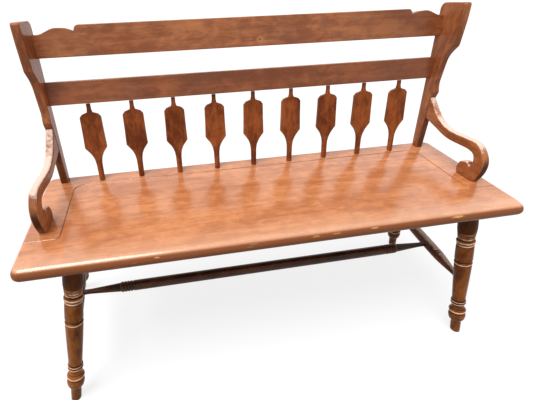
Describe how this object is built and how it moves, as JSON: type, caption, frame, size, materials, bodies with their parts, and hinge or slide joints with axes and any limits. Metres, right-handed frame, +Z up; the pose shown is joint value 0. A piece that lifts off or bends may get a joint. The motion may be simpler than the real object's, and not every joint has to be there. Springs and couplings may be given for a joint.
{
  "type": "wooden settee bench",
  "caption": "Stained maple settee bench with an arrow-spindle back, scrolled arms, a rolled-front plank seat and splayed turned legs joined by turned stretchers.",
  "frame": {"origin": "on the floor, under the middle of the bench's bounding box", "axes": "+X along the bench to the right as seen from the front, +Y towards the back, +Z up"},
  "size_m": [1.2068, 0.45, 0.8235],
  "materials": {
    "seat": "gloss lacquer over warm brown stain, worn pale at the front edge",
    "frame_boards": "gloss lacquer over warm brown stain",
    "spindles": "gloss lacquer over dark warm brown stain",
    "turnings": "gloss lacquer over dark brown stain, worn pale on the beads",
    "screws": "zinc plated",
    "plugs": "gloss lacquer over warm brown stain"
  },
  "bodies": {
    "root": {"seat": "seat", "front_left_leg": "turnings", "front_right_leg": "turnings", "rear_left_leg": "turnings", "rear_right_leg": "turnings", "left_stretcher": "turnings", "right_stretcher": "turnings", "centre_stretcher": "turnings", "left_post": "frame_boards", "right_post": "frame_boards", "left_arm": "frame_boards", "right_arm": "frame_boards", "top_rail": "frame_boards", "mid_rail": "frame_boards", "spindle_1": "spindles", "spindle_2": "spindles", "spindle_3": "spindles", "spindle_4": "spindles", "spindle_5": "spindles", "spindle_6": "spindles", "spindle_7": "spindles", "spindle_8": "spindles", "spindle_9": "spindles", "left_arm_foot_screw": "screws", "left_arm_back_screw": "screws", "right_arm_foot_screw": "screws", "right_arm_back_screw": "screws", "left_arm_plug": "plugs", "right_arm_plug": "plugs"}
  },
  "joints": []
}
